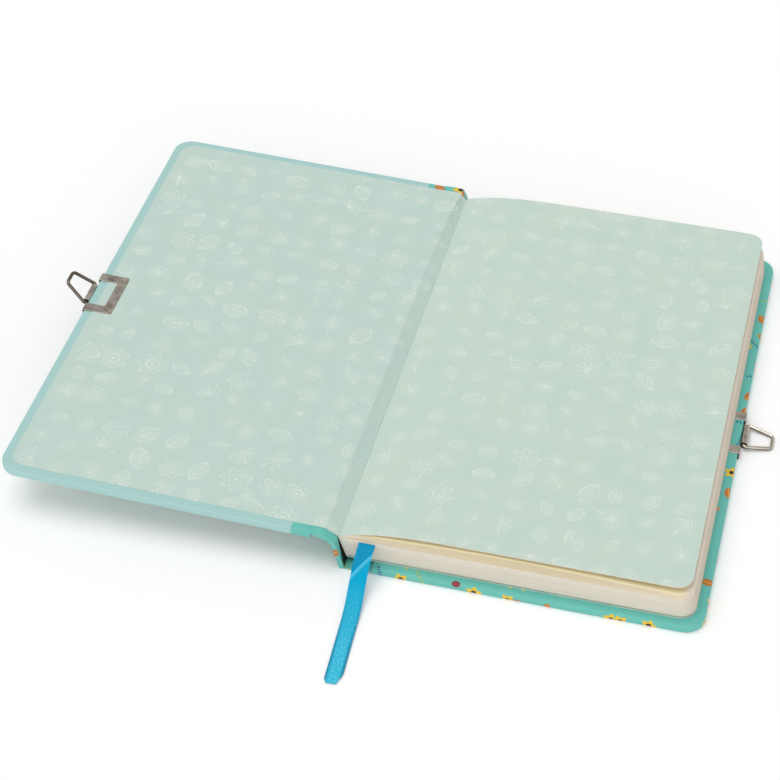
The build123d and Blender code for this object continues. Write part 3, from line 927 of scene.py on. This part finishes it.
@dataclass
class Case:
    """Covers, spine and the two joints, whose paper is built in its bent shape as it lies open."""

    half_height: float = 105.0
    page_half: float = 101.5
    endpaper: float = 0.2
    stations: int = 43
    back_lower: tuple = ((-65.96, 0.056), (-60.03, 0.31), (-53.65, 1.0))
    back_upper: tuple = ((-64.21, 0.49), (-60.03, 1.06), (-53.65, 1.75))
    front_lower: tuple = ((-76.5, 15.22), (-72.73, 14.0), (-68.95, 12.04))
    front_upper: tuple = ((-76.52, 15.91), (-74.2, 15.96), (-71.6, 15.72))
    front_fall: tuple = ((-71.6, 15.72), (-69.4, 14.1), (-67.2, 12.47))
    endpaper_rise: float = 0.06
    gutter: tuple = (-66.86, 12.88)
    valley_sag: float = 0.2
    lip_shift: float = 2.9
    lip_from: float = 40.0
    back_steps: int = 20
    front_steps: tuple = (14, 11)
    fall_steps: int = 15

    def strip(
        self, name: str, lower: Grid, upper: Grid, half: float, finish: bpy.types.Material, slot: str
    ) -> bpy.types.Object:
        """Makes a strip of sheet from two profiles carried from tail to head.

        Args:
            name: piece name.
            lower: profile of the outer side.
            upper: profile of the inner side.
            half: half of its length.
            finish: its material.
            slot: its slot in the record.

        Returns:
            The new piece.
        """
        y = np.linspace(-half, half, self.stations)
        piece = Piece(name)
        piece.shell(self.leant(carried(upper, y)), self.leant(carried(lower, y)))
        return piece.done([finish], slot)

    def leant(self, grid: Grid) -> Grid:
        """Moves the lip of the front joint towards the spine near the head.

        The shift grows with the square of the distance past its start, and dies to both sides of the lip.

        Args:
            grid: points in millimetres.

        Returns:
            The points with the shift in X.
        """
        ends = self.front_upper[0][0], self.front_fall[0][0], self.front_fall[-1][0]
        near = np.interp(grid[..., 0], ends, (0.0, 1.0, 0.0))
        past = np.clip((grid[..., 1] - self.lip_from) / (self.half_height - self.lip_from), 0, None)
        moved = grid.copy()
        moved[..., 0] += self.lip_shift * near * past**2
        return moved

    def build(self, palette: Palette) -> None:
        """Builds the joints and the hinge of the endpaper, and dresses the boards and papers.

        Args:
            palette: the diary's finishes.
        """
        dress(palette.turquoise, "back_cover_paper", "front_spine_strip")
        dress(palette.spine, "spine_paper")
        dress(palette.aqua, "front_cover_paper")
        dress(palette.endpaper, "back_pastedown", "front_pastedown", "back_flyleaf")
        dress(palette.board, "back_board", "front_board", "spine_board")
        cover = self.half_height, palette.turquoise, "turquoise_paper"
        profiles = (curve_through(line, self.back_steps) for line in (self.back_lower, self.back_upper))
        back = self.strip("back_joint_paper", *profiles, *cover)
        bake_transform(back)
        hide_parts("back_joint")
        level, steep = self.front_steps
        steps = level + steep - 1
        lip = curve_through(self.front_upper, level)[:-1]
        inner = np.concatenate([lip, curve_through(self.front_fall, steep)])
        front = self.strip("front_joint_paper", curve_through(self.front_lower, steps), inner, *cover)
        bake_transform(front)
        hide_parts("front_joint")
        rise = curve_through(self.front_upper, steps) + (0, self.endpaper_rise)
        share = np.linspace(0, 1, self.fall_steps)[1:, None]
        fall = rise[-1] + share * (np.array(self.gutter) - rise[-1])
        fall -= (0, self.valley_sag) * np.sin(share * math.pi)
        line = np.concatenate([rise, fall])
        upper = line + (0, self.endpaper)
        hinge = self.strip("endpaper_valley", line, upper, self.page_half, palette.endpaper, "endpaper")
        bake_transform(hinge)
        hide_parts("endpaper_hinge", "endpaper_gutter")


@dataclass
class TextBlock:
    """Sewn sections of cream leaves, their glued folds and the lining behind them."""

    section_x: float = -63.25
    page_x: float = 62.85
    fore_shear: float = 1.5
    page_half: float = 101.5
    page_r: float = 6.0
    bottom: float = 3.4
    section_t: float = 1.175
    sections: int = 8
    leaves: int = 5
    ragged: float = 0.12
    seed: int = 7
    drawn_back: tuple = ((2.2, 0.9), (2.0, 0.7), (1.2, 0.4))
    gap: float = 0.015
    root: tuple = (-63.95, 3.2)
    gutter: tuple = (-66.82, 12.8)
    lining: float = 0.2
    glue: float = 0.03
    ridge: float = 0.12
    ridge_steps: int = 6
    stations: int = 4
    rows: int = 9

    def outline(self) -> tuple[Grid, Grid]:
        """Stations from spine to fore edge and the half height of the leaf at each.

        The half height follows the rounded corner.

        Returns:
            X of each station, and half height, both in millimetres.
        """
        past, inset = rounded(self.page_r)
        corner = self.page_x - self.page_r
        x = np.concatenate([np.linspace(self.section_x, corner, self.stations)[:-1], corner + past])
        return x, self.page_half - np.concatenate([np.zeros(self.stations - 1), inset])

    def build(self, palette: Palette) -> None:
        """Builds every section leaf by leaf, each drawn back by the lean, then the folds and the lining.

        Args:
            palette: the diary's finishes.
        """
        x, half = self.outline()
        draw = np.random.default_rng(self.seed)
        across = np.array([-1.0, 1.0])
        pitch = self.section_t / self.leaves
        for number in range(1, self.sections + 1):
            piece = Piece(f"section_{number}_leaves")
            for leaf in range(self.leaves):
                slip = draw.uniform(-self.ragged, 0, 2)
                if number == 1 and leaf < len(self.drawn_back):
                    slip -= self.drawn_back[leaf]
                base = self.bottom + (number - 1) * self.section_t + leaf * pitch
                plan = np.stack(np.broadcast_arrays(x[:, None], half[:, None] * across, base), axis=-1)
                lean = self.fore_shear * (base - self.bottom) / (self.sections * self.section_t)
                moved = (slip[0] - lean) * (x[:, None] - self.section_x)
                plan[:, :, 0] += moved / (self.page_x - self.section_x)
                plan[:, :, 1] += slip[1] * across
                piece.shell(plan + (0, 0, pitch - self.gap), plan)
            # The top section takes the loose leaves' finish, with its stronger painted warm glow.
            finish = palette.page if number == self.sections else palette.block
            stack = piece.done([finish], "page")
            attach(stack, "back_cover")
            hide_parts(f"section_{number}")
        self.spine_side(palette)
        dress(palette.thread, "sewing_threads")

    def spine_side(self, palette: Palette) -> None:
        """Builds the folds of the sections, one soft ridge each, and the lining glued on them.

        Args:
            palette: the diary's finishes.
        """
        share = np.linspace(0, 1, self.sections * self.ridge_steps + 1)
        skin = np.array(self.root) + share[:, None] * (np.array(self.gutter) - self.root)
        face = skin.copy()
        face[:, 0] += self.ridge * (1 - np.abs(np.sin(share * self.sections * math.pi)))
        flat = np.stack([np.full(len(share), self.section_x), face[:, 1]], axis=1)
        y = np.linspace(-self.page_half, self.page_half, self.rows)
        piece = Piece("section_folds")
        piece.shell(carried(face, y), carried(flat, y))
        folds = piece.done([palette.block], "page")
        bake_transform(folds)
        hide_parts("section_backs")
        piece = Piece("lining_strip")
        piece.shell(carried(skin - (self.lining, 0), y), carried(skin - (self.glue, 0), y))
        lining = piece.done([palette.lining], "lining")
        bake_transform(lining)
        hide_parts("spine_lining")


@dataclass
class LooseLeaves:
    """Printed flyleaf and the leaves below it, which stand off the block and turn at a crease."""

    gutter_x: float = -66.8166
    block_top: float = 12.8
    page_x: float = 62.85
    page_half: float = 101.5
    page_r: float = 6.0
    pitch: float = 0.22
    lift: float = 2.99
    lean: float = 0.67
    curve: float = 13.0
    bend: float = 1.3
    sag: float = 0.42
    sag_run: float = 16.0
    fall: float = 0.8
    fall_bend: float = 1.6
    keeps: tuple = (1.0, 1.0, 0.5, 0.03)
    keep_run: float = 4.3
    short: tuple = (2.65, 2.2, 1.9, 1.6)
    dip: float = 0.62
    dip_run: float = 1.0
    crease_x: float = -60.0166
    crease_gap: float = 0.01
    fly_t: float = 0.22
    leaf_t: float = 0.07
    plies: tuple = (1, 7, 7, 1)
    fold_end: float = -63.45
    fold_gap: float = 0.02
    root_start: float = -63.4
    wave: float = 0.1
    wave_run: tuple = (47.0, 31.0)
    rows: int = 41
    stations: int = 40
    crowding: float = 1.6
    fold_steps: int = 14
    stub_steps: int = 12
    root_steps: int = 9

    def rise(self, x: Grid, order: int) -> Grid:
        """How far a leaf stands off its place in the block: a rise that levels off past the gutter.

        The flyleaf dips to its fold in the gutter. A leaf below keeps only a share of the rise: it sags
        past its crease, falls to the fore edge, and comes down to its place in the sheaf.

        Args:
            x: distance from the middle of the diary, in millimetres.
            order: 0 for the flyleaf, 1 and up for the leaves below it.

        Returns:
            Heights in millimetres.
        """
        out = np.clip(x - self.gutter_x, 0, None)
        rise = self.lift * (1 - np.exp(-((out / self.curve) ** self.bend)))
        if order == 0:
            rise = rise - self.dip * np.exp(-out / self.dip_run)
        past = np.clip(x - self.crease_x, 0, None)
        away = past / (self.page_x - self.crease_x)
        if order > 0:
            run = past / self.sag_run
            kept = 1 - self.sag * run * np.exp(1 - run) - self.fall * away**self.fall_bend
            share = self.keeps[order]
            rise = rise * kept * (share + (1 - share) * np.exp(-out / self.keep_run))
        return rise

    def middle(self, x: Grid, y: Grid, order: int) -> Grid:
        """Middle surface of a leaf, with a slow wave; it leans to the head by a share of its rise.

        Args:
            x: distance from the middle of the diary, in millimetres.
            y: distance to the head before it leans.
            order: 0 for the flyleaf, 1 and up for the leaves below it.

        Returns:
            Points in millimetres.
        """
        rise = self.rise(x, order)
        base = self.block_top + (len(self.keeps) - order - 0.5) * self.pitch
        away = np.clip(x - self.crease_x, 0, None) / (self.page_x - self.crease_x)
        wave = self.wave * away * np.sin(y / self.wave_run[1] + x / self.wave_run[0])
        return np.stack([x, y + self.lean * rise, base + rise + wave], axis=-1)

    def sheet(self, piece: Piece, x: Grid, half: Grid, order: int) -> None:
        """Adds one leaf, or a sheaf: closed sheets spread evenly down to the next leaf's height.

        Args:
            piece: piece to add it to.
            x: stations in millimetres.
            half: half height at each station.
            order: which leaf it is.
        """
        y = half[:, None] * np.linspace(-1, 1, self.rows)
        x = np.broadcast_to(x[:, None], y.shape)
        top = self.middle(x, y, order)
        room = top - self.middle(x, y, order + 1) if self.plies[order] > 1 else 0 * top
        thick = np.array((0, 0, self.leaf_t if order else self.fly_t)) / 2
        for ply in range(self.plies[order]):
            middle = top - room * ply / self.plies[order]
            piece.shell(middle + thick, middle - thick, 0, 0 if order else 1)

    def build(self, palette: Palette) -> None:
        """Builds the leaves that turn, the roots that stay, and the glued fold that follows the spine.

        Args:
            palette: the diary's finishes.
        """
        start = self.crease_x + self.crease_gap
        past, inset = rounded(self.page_r)
        spread = np.linspace(0, 1, self.stations)[:-1] ** self.crowding
        half = self.page_half - np.concatenate([np.zeros(len(spread)), inset])
        for order, short in enumerate(self.short):
            corner = self.page_x - short - self.page_r
            x = np.concatenate([start + (corner - start) * spread, corner + past])
            node = f"leaf_{order}" if order else "flyleaf"
            piece = Piece(f"{node}_sheet")
            self.sheet(piece, x, half, order)
            finishes = [palette.page] if order else [palette.flyleaf, palette.page]
            self.settle(piece.done(finishes, "page" if order else "endpaper"), "front_leaves", node)
        ends = self.gutter_x + self.fold_gap, self.fold_end
        y = self.page_half * np.linspace(-1, 1, self.rows)
        x, y = np.meshgrid(np.linspace(*ends, self.fold_steps), y, indexing="ij")
        top = self.middle(x, y, 0) + (0, 0, self.fly_t / 2)
        foot = top.copy()
        foot[..., 2] = self.block_top + self.crease_gap
        piece = Piece("flyleaf_fold")
        piece.shell(top, foot, 0, 1)
        fold = piece.done([palette.flyleaf, palette.page], "endpaper")
        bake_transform(fold)
        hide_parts("flyleaf_root")
        piece = Piece("flyleaf_stub")
        end = self.crease_x - self.crease_gap
        rest = np.linspace(self.fold_end + self.crease_gap, end, self.stub_steps)
        self.sheet(piece, rest, np.full(self.stub_steps, self.page_half), 0)
        self.settle(piece.done([palette.flyleaf, palette.page], "endpaper"), "back_cover", "flyleaf_root")
        roots = np.linspace(self.root_start, end, self.root_steps)
        piece = Piece("leaf_stubs")
        for order in range(1, len(self.keeps)):
            self.sheet(piece, roots, np.full(self.root_steps, self.page_half), order)
        self.settle(piece.done([palette.page], "page"), "back_cover", "leaf_roots")

    def settle(self, piece: bpy.types.Object, body: str, node: str) -> None:
        """Lets a sheet ride on its body.

        Args:
            piece: the sheet.
            body: body that it rides on.
            node: CAD node that it stands for.
        """
        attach(piece, body)
        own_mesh(piece)
        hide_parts(node)


@dataclass
class RibbonMarker:
    """Satin ribbon: flat among the pages, then out of the tail, down and along the table."""

    width: float = 6.1
    thick: float = 0.22
    crown: float = 0.12
    columns: int = 9
    order: int = 3
    steps: int = 16
    cuts: tuple = ((0.75, 1.5), (0.45, 4.5))
    route: tuple = (
        (-56.2, -101.56, 11.55),
        (-56.4, -108.0, 10.22),
        (-56.3, -116.0, 4.0),
        (-55.6, -125.0, 0.89),
        (-54.9, -140.0, 0.45),
        (-53.95, -157.5, 0.6),
    )

    def centreline(self) -> Grid:
        """Smooths the route by a quadratic spline, whose points are read from a bare curve.

        Returns:
            Its points in millimetres.
        """
        data = bpy.data.curves.new("ribbon_route", "CURVE")
        data.dimensions = "3D"
        spline = data.splines.new("NURBS")
        spline.points.add(len(self.route) - 1)
        spline.points.foreach_set("co", np.array([(*place, 1.0) for place in self.route]).ravel())
        spline.order_u = self.order
        spline.use_endpoint_u = True
        spline.resolution_u = self.steps
        bare = bpy.data.objects.new("ribbon_route", data)
        mesh = bpy.data.meshes.new_from_object(bare)
        line = np.zeros(3 * len(mesh.vertices), np.float32)
        mesh.vertices.foreach_get("co", line)
        bpy.data.meshes.remove(mesh)
        bpy.data.curves.remove(data)
        return line.astype(float).reshape(-1, 3)

    def build(self, palette: Palette) -> None:
        """Builds the band: a slightly crowned profile along the route, its far corners cut off aslant.

        Args:
            palette: the diary's finishes.
        """
        line = self.centreline()
        step = np.gradient(line, axis=0)
        step /= np.linalg.norm(step, axis=1, keepdims=True)
        side = np.cross(step, (0.0, 0.0, 1.0))
        side /= np.linalg.norm(side, axis=1, keepdims=True)
        up = np.cross(side, step)
        across = np.linspace(-1, 1, self.columns)
        run = np.concatenate([[0], np.cumsum(np.linalg.norm(np.diff(line, axis=0), axis=1))])
        left = run[-1] - run
        slight, deep = (np.clip(first + (1 - first) * left / span, 0, 1) for first, span in self.cuts)
        spread = self.width / 2 * across * np.where(across > 0, slight[:, None], deep[:, None])
        crown = self.crown * (1 - across**2)
        middle = line[:, None] + spread[..., None] * side[:, None] + crown[None, :, None] * up[:, None]
        lift = self.thick / 2 * up[:, None]
        piece = Piece("ribbon_band")
        piece.shell(middle[::-1] + lift[::-1], middle[::-1] - lift[::-1])
        band = piece.done([palette.ribbon], "ribbon")
        along = np.broadcast_to(run[::-1, None], spread.shape)
        flat = np.stack([spread[::-1], along], axis=-1).reshape(-1, 2)
        layer = band.data.uv_layers.new(name="band")
        ends = np.zeros(len(band.data.loops), np.int32)
        band.data.loops.foreach_get("vertex_index", ends)
        layer.data.foreach_set("uv", np.concatenate([flat, flat])[ends].astype(np.float32).ravel())
        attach(band, "back_cover")
        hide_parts("ribbon_tail")
        tuple(value * MM for value in self.route[0])
        dress(palette.ribbon_run, "ribbon")


@dataclass(frozen=True)
class Lamp:
    """Wide soft lamp, far off."""

    name: str
    energy: float
    towards: Point
    spread: float


@dataclass
class Studio:
    """White floor, soft light and the photograph's view."""

    azimuth: float = 14.169
    elevation: float = 42.934
    distance: float = 828.027
    target: Point = (-64.122, -6.843, 0.0)
    sensor: float = 36.0
    lens: float = 96.595
    shift: float = -0.026
    floor_half: float = 3000.0
    sheet: str = "#FDFDFD"
    white: str = "#FFFFFF"
    lift: float = 0.1
    sky: float = 0.7
    front: float = 0.42
    ring_dim: float = 0.34
    ring_height: float = 0.68
    ring_width: float = 0.2
    lamps: tuple = (
        Lamp("soft_key", 1.22, (-0.3, 0.0, 1.0), 50.0),
        Lamp("front_fill", 0.5, (0.5, -1.0, 0.25), 60.0),
    )

    def build(self) -> None:
        """Adds the floor, the lamps and the camera."""
        self.floor()
        self.light()
        self.camera()

    def floor(self) -> None:
        """Adds a white sheet for shadows; camera, glossy and transmission rays see it lifted to white."""
        mesh = bpy.data.meshes.new("floor")
        corners = np.array([(-1, -1, 0), (1, -1, 0), (1, 1, 0), (-1, 1, 0)]) * self.floor_half * MM
        mesh.from_pydata(corners.tolist(), [], [(0, 1, 2, 3)])
        graph = Graph(bpy.data.materials.new("white_floor"))
        add = graph.add
        path = add("LightPath")
        seen = path.outputs["Is Camera Ray"]
        for ray in ("Is Glossy Ray", "Is Transmission Ray"):
            seen = add("Math", {0: seen, 1: path.outputs[ray]}, operation="MAXIMUM")
        extra = add("Math", {0: seen, 1: self.lift}, operation="MULTIPLY")
        matt = add("BsdfDiffuse", {0: linear(self.sheet)})
        glow = add("Emission", {0: linear(self.white), 1: extra})
        add("OutputMaterial", {0: add("AddShader", {0: matt, 1: glow})})
        mesh.materials.append(graph.owner)
        floor = bpy.data.objects.new("floor", mesh)
        bpy.context.scene.collection.objects.link(floor)

    def light(self) -> None:
        """Sets a pale room, dimmer in a ring about its walls' tops and brighter in front, and the lamps.

        The ring's share is exp(-d * d), with d the distance from its height over its width.
        """
        graph = Graph(bpy.data.worlds.new("pale_room"))
        add = graph.add
        bpy.context.scene.world = graph.owner
        look = add("SeparateXYZ", {0: add("TexCoord").outputs["Generated"]})
        off = add("Math", {0: look.outputs[2], 1: self.ring_height}, operation="SUBTRACT")
        off = add("Math", {0: off, 1: self.ring_width}, operation="DIVIDE")
        square = add("Math", {0: off, 1: off}, operation="MULTIPLY")
        ring = add("Math", {0: math.exp(-1), 1: square}, operation="POWER")
        level = add("MapRange", {0: ring, 3: self.sky, 4: self.sky * (1 - self.ring_dim)})
        near = add("MapRange", {0: look.outputs[1], 1: 0.0, 2: -1.0, 3: 1.0, 4: 1.0 + self.front})
        level = add("Math", {0: level.outputs[0], 1: near.outputs[0]}, operation="MULTIPLY")
        add("OutputWorld", {0: add("Background", {1: level})})
        for lamp in self.lamps:
            data = bpy.data.lights.new(lamp.name, "SUN")
            data.energy = lamp.energy
            data.angle = math.radians(lamp.spread)
            source = bpy.data.objects.new(lamp.name, data)
            source.rotation_euler = Vector(lamp.towards).to_track_quat("Z", "Y").to_euler()
            bpy.context.scene.collection.objects.link(source)

    def camera(self) -> None:
        """Stands the camera where the photograph was taken."""
        turn, rise = math.radians(self.azimuth), math.radians(self.elevation)
        back = Vector((math.sin(turn) * math.cos(rise), -math.cos(turn) * math.cos(rise), math.sin(rise)))
        data = bpy.data.cameras.new("photo_view")
        data.sensor_width = self.sensor
        data.lens = self.lens
        data.shift_x = self.shift
        eye = bpy.data.objects.new("photo_view", data)
        eye.location = (Vector(self.target) + back * self.distance) * MM
        eye.rotation_euler = back.to_track_quat("Z", "Y").to_euler()
        bpy.context.scene.collection.objects.link(eye)
        bpy.context.scene.camera = eye


def main() -> None:
    """Builds the studio and every sub-assembly in order."""
    logging.basicConfig(level=logging.INFO, format="%(name)s: %(message)s")
    bpy.context.scene.view_settings.view_transform = "Standard"
    palette = Palette.mixed()
    Studio().build()
    RibbonMarker().build(palette)
    Case().build(palette)
    TextBlock().build(palette)
    LooseLeaves().build(palette)
    dress(palette.steel, "front_clip", "back_clip", "back_loop")
    # The front loop wears the darker copy of the steel: painted shade.
    dress(palette.wire, "front_loop")


if __name__ == "__main__":
    main()
